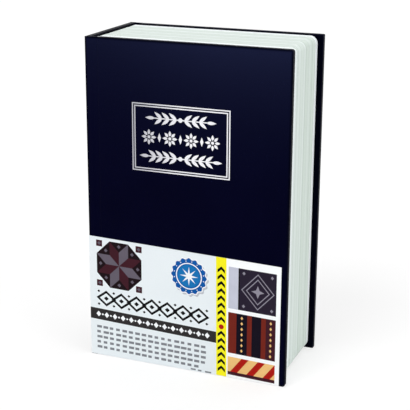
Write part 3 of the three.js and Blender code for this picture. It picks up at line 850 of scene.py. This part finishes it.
def page_block_skin():
    """The block before its leaves are drawn in, closed all over, with what the leaves need. The
    leaves next to the front cover are the cleanest, and those of the fore-edge towards the back
    cover are the greyest, with painted shade."""
    low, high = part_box("page_block")
    outline, rows = block_outline(low, high), block_rows(low.y, high.y)
    shell = bmesh.new()
    floats = {name: shell.verts.layers.float.new(name)
              for name in ("leaves_here", "from_groove", "groove_depth", "leaf", "tone", "groove")}
    inward = shell.verts.layers.float_vector.new("inward")

    def ring(points, y):
        made = [shell.verts.new((x, y, z)) for x, z in points]
        for v in made:
            v[floats["tone"]] = 1.0
        return made

    def wall(one, other):
        for i in range(len(one)):
            shell.faces.new((one[i - 1], one[i], other[i], other[i - 1]))

    def cap(*rings):
        corners = [v for r in rings for v in r]
        for three in tessellate_polygon([[Vector((v.co.x, v.co.z, 0)) for v in r] for r in rings]):
            shell.faces.new([corners[i] for i in three])

    skin = []
    for y, here, near, depth, ridge, tone, groove_shade in rows:
        row = []
        for (x, z), (way_x, way_z) in outline:
            inset = 0.0 if here else near
            side = abs(way_x)
            past = y - low.y - CLEAN_ENDS - (CLEAN_SIDE - CLEAN_ENDS) * side
            clean = CLEAN_TONE - CLEAN_LESS_AT_SIDE * side
            clean *= math.exp(-(max(0.0, past) / CLEAN_FADE) ** 2)
            # Painted shade on the fore-edge towards the back cover
            fore_edge_shade = here * side * FORE_EDGE_SHADE * min(1.0, max(0.0, y - low.y - FORE_EDGE_SHADE_FROM) / FORE_EDGE_SHADE_FADE)
            v = shell.verts.new((x + way_x * inset, y, z + way_z * inset))
            # Tone less its painted fore-edge shade, and the painted groove shade, mostly left out
            # on the clean leaves by the front cover
            given = (here, near, depth, ridge, max(tone, clean) - fore_edge_shade,
                     groove_shade * (1 - clean * (1 - side)))
            for layer, value in zip(floats.values(), given):
                v[layer] = value
            v[inward] = Vector((way_x, 0.0, way_z))
            row.append(v)
        skin.append(row)
    for one, other in zip(skin, skin[1:]):
        wall(one, other)

    box_low, box_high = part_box("box_shell")
    fit = Vector((OPENING_FIT, 0, OPENING_FIT))
    near, far = box_low - fit, box_high + fit
    opening = rounded_rectangle(near.x, far.x, near.z, far.z, OPENING_CORNER, OPENING_CORNER)
    hollow = rounded_rectangle(low.x + WALL, high.x - WALL, low.z + WALL, high.z - WALL,
                               HOLLOW_CORNER, BLOCK_CORNER - WALL)
    mouth, lip = ring(opening, low.y), ring(opening, low.y + FLANGE)
    shoulder, floor_ring = ring(hollow, low.y + FLANGE), ring(hollow, high.y - WEB)
    cap(skin[0], mouth)
    wall(mouth, lip)
    cap(shoulder, lip)
    wall(shoulder, floor_ring)
    feet = []
    for k in range(1, 5):
        screw_low, screw_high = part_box(f"box_screw_{k}")
        x, z = (screw_low.x + screw_high.x) / 2, (screw_low.z + screw_high.z) / 2
        top = box_high.y + BOSS_GAP
        foot, crown = (ring(round_of(x, z, BOSS), y) for y in (high.y - WEB, top))
        eye, bottom = (ring(round_of(x, z, BOSS_HOLE), y) for y in (top, high.y - HOLE_FLOOR))
        wall(foot, crown)
        cap(crown, eye)
        wall(eye, bottom)
        cap(bottom)
        feet.append(foot)
    cap(floor_ring, *feet)
    cap(skin[-1])
    bmesh.ops.recalc_face_normals(shell, faces=shell.faces)
    return mesh_from(shell, "page_block_skin")


PLASTIC = page_plastic()
block_mesh = grown("page_block_leaves", leaf_edges_tree(), page_block_skin(), Plastic=PLASTIC)
link("page_block_leaves", block_mesh, PLASTIC, "case", ["page_block"],
     smooth=14)


# Silver foil on the front cover and the spine

COVER_FOIL, SPINE_FOIL = silver_foil("silver foil", 0.8), silver_foil("spine foil", 0.0)
FOIL_PROUD, FOIL_SUNK, FOIL_LEVEL = 0.03 * MM, 0.02 * MM, 0.01 * MM
RULE_WIDTH, RULE_GAP = 0.63 * MM, 0.64 * MM
FIRST_LEAF, LEAF_LEAN, STEM_HALF, STEM_OVERLAP = 2.2 * MM, 0.66, 0.3 * MM, 0.8 * MM
MOTIFS = motif_row_tree()


def stamped(loops, y=0.0, level=0):
    """Foil on a face at some depth, lying so many levels below the top of the foil."""
    return plate(loops, y - FOIL_PROUD + level * FOIL_LEVEL, y + FOIL_SUNK)


def motif(name, *shapes):
    """A motif as an object that a row can copy; it is taken away again after use."""
    return in_scene(name, joined(name, [stamped(loops) for loops in shapes]))


def row(of, count, start, pitch, foil, lean=0.0):
    """Copies of a motif at even steps across the cover, as a mesh."""
    return grown("row", MOTIFS, Motif=of, Count=count, Start=start, Step=(pitch, 0, 0), Lean=lean,
                 Foil=foil)


def double_rule(x0, x1, z0, z1, y):
    return [stamped(rule(x0 + d, x1 - d, z0 + d, z1 - d, RULE_WIDTH), y)
            for d in (0.0, RULE_WIDTH + RULE_GAP)]


def laurel(middle, y, z, pairs, pitch, leaf_motif, berry, foil):
    """Two sprigs that grow outwards from a berry, as meshes. Leaves of one side lie over those of
    the other, and all of them over the stem."""
    meshes = [row(berry, 1, (middle, y, z), 0, foil)]
    for way, facing in ((1, 0.0), (-1, math.pi)):
        start = middle + way * FIRST_LEAF
        tip = start + way * pitch * pairs
        for lean, level in ((LEAF_LEAN, 0), (-LEAF_LEAN, 1)):
            meshes.append(row(leaf_motif, pairs, (start, y + level * FOIL_LEVEL, z), way * pitch,
                              foil, facing + lean))
        low, high = sorted((middle + way * STEM_OVERLAP, tip + way * STEM_OVERLAP))
        meshes.append(stamped([rectangle(low, high, z - STEM_HALF, z + STEM_HALF)], y, 2))
        meshes.append(row(leaf_motif, 1, (tip, y, z), 0, foil, facing))
    return meshes


def title_frame(sides, y, foil, leaf_size, berry_reach, flower_reach, laurels, flowers):
    """Meshes of a double rule with laurels inside it and rows of flowers in line with its middle.
    Laurels are given by height, pairs of leaves and pitch, and flowers by height, number and
    pitch."""
    middle = (sides[0] + sides[1]) / 2
    leaf_motif = motif("leaf", [leaf(*leaf_size)])
    berry = motif("berry", [round_of(0, 0, berry_reach, 16)])
    rosette = motif("rosette", *flower(flower_reach, 8))
    meshes = double_rule(*sides, y)
    for z, pairs, pitch in laurels:
        meshes += laurel(middle, y, z, pairs, pitch, leaf_motif, berry, foil)
    for z, count, pitch in flowers:
        start = middle - (count - 1) / 2 * pitch
        meshes.append(row(rosette, count, (start, y, z), pitch, foil))
    for used in (leaf_motif, berry, rosette):
        bpy.data.objects.remove(used)
    return meshes


def cover_foil():
    """The title frame, with a lozenge between each two flowers."""
    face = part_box("front_wrap")[0].y
    left, right, flowers, pitch = -30.1 * MM, 24.75 * MM, 129.3 * MM, 11.9 * MM
    meshes = title_frame(
        (left, right, 110.55 * MM, 147.1 * MM), face, COVER_FOIL,
        leaf_size=(5.4 * MM, 1.8 * MM), berry_reach=1.2 * MM, flower_reach=4.2 * MM,
        laurels=((139.6 * MM, 3, 4.1 * MM), (119.0 * MM, 4, 3.9 * MM)),
        flowers=((flowers, 4, pitch),))
    spacer = motif("spacer", [lozenge(0, 0, 0.95 * MM, 2.5 * MM)])
    start = (left + right) / 2 - pitch
    meshes.append(row(spacer, 3, (start, face, flowers), pitch, COVER_FOIL))
    bpy.data.objects.remove(spacer)
    link("cover_foil", joined("cover_foil", meshes), COVER_FOIL, "cover")


def spine_foil():
    """Bands, a small title frame and a flower below it, drawn facing front and then turned."""
    low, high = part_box("spine_wrap")
    half = (high.y - low.y) / 2 - 5 * MM
    meshes = []
    for z in (14 * MM, 166 * MM):
        for offset, width in ((0, 1.1), (2.1, 0.5), (-1.5, 0.5)):
            bottom = z + offset * MM
            meshes.append(stamped([rectangle(-half, half, bottom, bottom + width * MM)]))
    meshes += title_frame(
        (-half, half, 112 * MM, 146 * MM), 0.0, SPINE_FOIL,
        leaf_size=(4.6 * MM, 1.55 * MM), berry_reach=1.05 * MM, flower_reach=5.6 * MM,
        laurels=((119.5 * MM, 3, 3.7 * MM), (138.5 * MM, 3, 3.7 * MM)),
        flowers=((129 * MM, 1, 0), (30 * MM, 1, 0)))
    whole = joined("spine_foil", meshes)
    whole.transform(Matrix.Translation((low.x, (low.y + high.y) / 2, 0))
                    @ Matrix.Rotation(-TURN / 4, 4, "Z"))
    link("spine_foil", whole, SPINE_FOIL, "spine")


cover_foil()
spine_foil()


# Printed label

label_low, label_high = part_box("paper_label")
LABEL_WIDTH = label_high.x - label_low.x
LABEL_FALL = 3.1 * MM
PAPER_FACE = label_low.y + 0.04 * MM
LEVEL = 0.01 * MM
CORNERS = (1, 1), (1, -1), (-1, 1), (-1, -1)

# Places on the label are in millimetres from its lower left corner.
STRIPE_MIDDLE = 78.05
PANEL_LEFT, PANEL_RIGHT = 81.9, 108.4

# Inks in the order of printing
INKS = {
    "yellow": (241, 233, 32), "grey_bar": (46, 44, 45), "shadow": (190, 194, 202),
    "blue": (12, 84, 160), "light_blue": (24, 112, 178), "white": (240, 243, 246),
    "plum": (26, 14, 19), "maroon": (62, 26, 36), "slate": (98, 91, 103), "black": (12, 11, 14),
    "red": (170, 26, 18), "violet": (38, 31, 47), "lavender": (195, 198, 213),
    "silver": (140, 136, 150), "brown": (112, 36, 26), "navy": (16, 11, 25),
    "cream": (234, 190, 122)}

# Brightness left in the darkest patches of an ink
SHADE, YELLOW_SHADE = 0.86, 0.95


def on_label(points):
    """Points given in millimetres from the label's lower left corner. The print runs slightly
    downhill towards the fore-edge."""
    made = []
    for u, v in points:
        fall = LABEL_FALL * max(0.0, 1 - u * MM / LABEL_WIDTH)
        made.append((label_low.x + u * MM, label_low.z + v * MM + fall))
    return made


def label_sheet():
    """The paper, with a pale ground printed on it up to the middle of the stripe."""
    corners = [(label_low.x, label_low.z), (label_high.x, label_low.z),
               (label_high.x, label_high.z - LABEL_FALL), (label_low.x, label_high.z)]
    mesh = plate([corners], PAPER_FACE, label_high.y)
    ground = label_low.x + STRIPE_MIDDLE * MM, srgb(226, 233, 236), srgb(217, 225, 230)
    sheet = paper("label paper", srgb(243, 246, 247), srgb(236, 239, 241), roughness=0.42,
                  fibre=0.35 * MM, ground=ground)
    link("label_sheet", mesh, sheet, "cover", ["paper_label"])


def stripe_middle(v):
    """The stripe leans a little towards the spine as it goes up."""
    return STRIPE_MIDDLE + 0.25 - 0.01 * v


def lozenge_line(u, v, half_width, half_height, width):
    """A lozenge drawn with a line of one width: its outline and its hole."""
    share = 1 - width * math.hypot(half_width, half_height) / (half_width * half_height)
    hole = lozenge(u, v, share * half_width, share * half_height)
    return [lozenge(u, v, half_width, half_height), hole[::-1]]


def stripe(lay):
    """The yellow stripe, with arrows up it and a dot in the place of one of them."""
    top = (label_high.z - label_low.z - LABEL_FALL) / MM
    lay("yellow", 1, [(75.4, -0.8), (81.2, -0.8), (80.6, top), (74.7, top)])
    half, rise, thick = 2.1, 1.9, 1.8
    for k in range(15):
        v = 1.5 + 4.05 * k
        u = stripe_middle(v)
        if k == 6:
            lay("red", 3, round_of(stripe_middle(v + rise), v + rise, 1.4, 24))
        else:
            lay("black", 2, [(u - half, v), (u, v + rise), (u + half, v), (u + half, v + thick),
                             (u, v + rise + thick), (u - half, v + thick)])


def bar_with_chain(lay):
    """The dark bar, with lozenges and dots along it."""
    lay("grey_bar", 1, [(0, 18.25), (75.2, 17.75), (75.1, 24.2), (0, 24.9)])
    for u in range(5, 72, 5):
        v = 21.6 - 0.008 * u
        lay("white", 2, lozenge(u, v, 1.45, 1.7))
        if u < 70:
            lay("white", 2, round_of(u + 2.5, v, 0.55, 12))


def seal(lay):
    """A scalloped seal with a star, and its shadow on the paper."""
    u, v = 59.3, 53.2
    for ink_name, level, aside, up, reach in (
            ("shadow", 1, 0.9, -1.1, 10.1), ("white", 2, 0, 0, 10.4), ("blue", 3, 0, 0, 9.8)):
        lay(ink_name, level, round_of(u + aside, v + up, reach, 96, wave=0.5, waves=16))
    lay("light_blue", 4, round_of(u, v, 6.4, 48))
    lay("white", 5, round_of(u, v, 7.5, 48), round_of(u, v, 6.9, 48)[::-1])
    lay("white", 5, star(u, v, 5.3, 1.6, 8))
    for k in range(16):
        lay("white", 5, round_of(*around(u, v, 8.5, (k + 0.5) / 16), 0.3, 8))


def quilt_star(lay):
    """Eight rhombs as a star on an eight-sided ground, with a small square in each corner."""
    u, v, reach = 18.0, 51.8, 15.8
    ground = reach * math.cos(TURN / 16)
    lay("plum", 1, star(u, v, ground, ground, 4, TURN / 16))
    for k in range(8):
        one, other = (around(u, v, reach / 2, j / 8) for j in (k, k + 1))
        far = (one[0] + other[0] - u, one[1] + other[1] - v)
        lay("slate" if k % 2 else "maroon", 2, [(u, v), one, far, other])
        lay("slate", 2, lozenge(*around(u, v, 11.2, k / 8), 1.1, 1.1))
    for across, up in CORNERS:
        a, b = u + across * 11.9, v + up * 11.6
        lay("maroon", 1, rectangle(a - 1.8, a + 1.8, b - 1.8, b + 1.8))
        lay("slate", 2, lozenge(a, b, 1.1, 1.1))


def trellis(lay):
    """Crossing lozenges over the bar, with dots between their tips."""
    pitch, v = 9.2, 31.4
    for k in range(7):
        u = 9.9 + pitch * k
        lay("black", 1 + k % 2, *lozenge_line(u, v, 6.1, 4.7, 1.25))
        lay("black", 1, lozenge(u, v, 1.5, 1.3))
    for k in range(8):
        for dot in (27.6, 35.2):
            lay("black", 1, lozenge(5.3 + pitch * k, dot, 0.9, 0.8))


def lozenge_panel(lay):
    """The upper panel: a double lozenge beside a pale strip."""
    low, high, strip, line = 39.2, 62.6, 87.4, 0.7
    lay("lavender", 1, rectangle(PANEL_LEFT, strip, low, high))
    lay("black", 3, rectangle(strip, strip + line, low, high))
    lay("violet", 1, rectangle(strip + line, PANEL_RIGHT, low, high))
    u, v = 98.2, 50.9
    for reach in (9.2, 6.6):
        lay("silver", 2, *lozenge_line(u, v, reach, 1.1 * reach, 0.5))
    lay("silver", 2, star(u, v, 3.6, 1.4, 4))
    for across, up in CORNERS:
        lay("silver", 2, lozenge(u + 7.8 * across, v + 9.2 * up, 0.9, 1.0))


def striped_panel(lay):
    """The middle panel: upright stripes, with lozenges up two of them."""
    low, high = 13.6, 37
    lay("brown", 1, rectangle(PANEL_LEFT, PANEL_RIGHT, low, high))
    for ink_name, left, right in (
            ("navy", 86.6, 92.6), ("navy", 95.2, 100.4), ("maroon", 103, PANEL_RIGHT)):
        lay(ink_name, 2, rectangle(left, right, low, high))
    for u in (89.6, 105.7):
        for k in range(7):
            lay("cream", 3, lozenge(u, 15.9 + 3.13 * k, 0.7, 1.0))


def banded_panel(lay):
    """The low panel: slanting bands over a dark foot, the last of them cut by the panel's side."""
    low, foot, high, slant, width = 0.9, 2.8, 11.4, 6.4, 4
    lay("cream", 1, rectangle(PANEL_LEFT, PANEL_RIGHT, low, high))
    lay("maroon", 2, rectangle(PANEL_LEFT, PANEL_RIGHT, low, foot))
    for u in (83.4, 92.6):
        lay("red", 2, [(u, foot), (u + width, foot), (u + slant + width, high), (u + slant, high)])
    u = 101.8
    lay("red", 2, [(u, foot), (u + width, foot), (PANEL_RIGHT, 6.3), (PANEL_RIGHT, high),
                   (u + slant, high)])


def label_print():
    """All the shapes of one ink are one piece, each a little above the paper by its level."""
    printed = {name: [] for name in INKS}

    def lay(name, level, *loops):
        mesh = plate([on_label(loop) for loop in loops], PAPER_FACE - level * LEVEL,
                     PAPER_FACE + LEVEL)
        printed[name].append(mesh)

    for ornament in (stripe, bar_with_chain, seal, quilt_star, trellis, lozenge_panel,
                     striped_panel, banded_panel):
        ornament(lay)
    for name, meshes in printed.items():
        shade = YELLOW_SHADE if name == "yellow" else SHADE
        material = ink(f"print {name.replace('_', ' ')}", srgb(*INKS[name]), shade)
        link(f"print_{name}", joined(f"print_{name}", meshes), material, "cover")


def label_rules():
    """Rows of short bars below the dark bar, and a thinner short row at the label's foot."""
    grey = ink("print fine grey", srgb(126, 130, 136), SHADE)
    tree, meshes = printed_rules_tree(), []
    for corner, width, columns, rows, high, last, seed in (
            ((3.8, 1.7), 66.5, 17, 5, 1.45, 60, 4), ((60.5, -0.45), 12.5, 3, 1, 0.9, 99, 9)):
        x, z = on_label([corner])[0]
        meshes.append(grown("rules", tree, Width=width * MM, Columns=columns, Rows=rows,
                            Pitch=3.05 * MM, Bar=high * MM, Depth=2 * LEVEL, Last_row=last * MM,
                            Fall=LABEL_FALL / LABEL_WIDTH, Start=(x, PAPER_FACE, z), Seed=seed,
                            Ink=grey))
    link("print_rules", joined("print_rules", meshes), grey, "cover")


label_sheet()
label_print()
label_rules()


# Camera, light and floor

CAMERA_PLACE = (0.21647, -0.55159, 0.27046)
AZIMUTH, ELEVATION, ROLL = (math.radians(a) for a in (22.2141, 16.1008, 0.1142))
PHOTO_SIDE, SENSOR = 410.0, 36.0
FOCAL, CENTRE = 1129.75, (190.0, 182.0)
LAMP_WIDTH = math.radians(31)


def camera():
    """The photograph's camera: where it stood, how it was turned, and how its view is cropped."""
    flat = math.cos(ELEVATION)
    back = Vector((math.sin(AZIMUTH) * flat, -math.cos(AZIMUTH) * flat, math.sin(ELEVATION)))
    level = (-back).cross(Vector((0, 0, 1))).normalized()
    upright = level.cross(-back)
    right = math.cos(ROLL) * level + math.sin(ROLL) * upright
    up = math.cos(ROLL) * upright - math.sin(ROLL) * level
    lens = bpy.data.cameras.new("camera")
    lens.sensor_width = SENSOR
    lens.lens = SENSOR * FOCAL / PHOTO_SIDE
    lens.shift_x = (PHOTO_SIDE / 2 - CENTRE[0]) / PHOTO_SIDE
    lens.shift_y = (CENTRE[1] - PHOTO_SIDE / 2) / PHOTO_SIDE
    lens.clip_start, lens.clip_end = 0.01, 50.0
    made = in_scene("camera", lens)
    turned = Matrix((right, up, back)).transposed().to_4x4()
    made.matrix_world = Matrix.Translation(CAMERA_PLACE) @ turned
    bpy.context.scene.camera = made


def lamp(name, toward, strength):
    """A soft, even light from the direction of a point, as strong everywhere on the floor."""
    light = bpy.data.lights.new(name, "SUN")
    light.angle, light.energy = LAMP_WIDTH, strength
    turned = Vector(toward).to_track_quat("Z", "Y").to_matrix().to_4x4()
    in_scene(name, light).matrix_world = turned


def seen_directly(tree):
    """1 for what the camera sees, also in a mirror or through glass, and 0 for light that falls."""
    rays = add(tree, "ShaderNodeLightPath").outputs
    mirrored = math_of(tree, "MAXIMUM", rays["Is Glossy Ray"], rays["Is Transmission Ray"])
    return math_of(tree, "MAXIMUM", rays["Is Camera Ray"], mirrored)


def surroundings(level):
    """White all round for the camera, and soft even light at a plain level."""
    world = bpy.data.worlds.new("studio")
    world.use_nodes = True
    tree = world.node_tree
    background = first(tree, "BACKGROUND")
    background.inputs["Color"].default_value = (1.0, 1.0, 1.0, 1.0)
    strength = add(tree, "ShaderNodeMix", (), {0: seen_directly(tree), 2: level, 3: 1.0})
    tree.links.new(strength.outputs[0], background.inputs["Strength"])
    bpy.context.scene.world = world


def floor():
    """A pale floor that meets the white round it and keeps the book's shadow."""
    reach, level = 6.0, -0.02 * MM
    mesh = bpy.data.meshes.new("floor")
    mesh.from_pydata([(x, y, level) for x, y in rectangle(-reach, reach, -reach, reach)],
                     [], [(0, 1, 2, 3)])
    material, tree = finish_of("pale floor", Roughness=0.9, Specular_IOR_Level=0.0)
    shader = first(tree, "BSDF_PRINCIPLED")
    pale = blended(tree, marks_of(tree, 200 * MM), srgb(240, 240, 240), srgb(238, 238, 238))
    tree.links.new(pale, shader.inputs["Base Color"])
    glow = add(tree, "ShaderNodeEmission", (), {"Strength": 1.08})
    share = times(tree, seen_directly(tree), 0.6)
    mixed = add(tree, "ShaderNodeMixShader", (), {
        0: share, 1: shader.outputs[0], 2: glow.outputs[0]})
    tree.links.new(mixed.outputs[0], first(tree, "OUTPUT_MATERIAL").inputs["Surface"])
    mesh.materials.append(material)
    made = in_scene("floor", mesh)


camera()
surroundings(0.62)
lamp("light over the front", (-0.35, -0.85, 1.06), 1.26)
lamp("light at the fore-edge", (1.1, -0.35, 0.46), 0.77)
lamp("light overhead", (0.1, 0.25, 1.21), 0.46)
floor()
bpy.context.scene.view_settings.view_transform = "Standard"
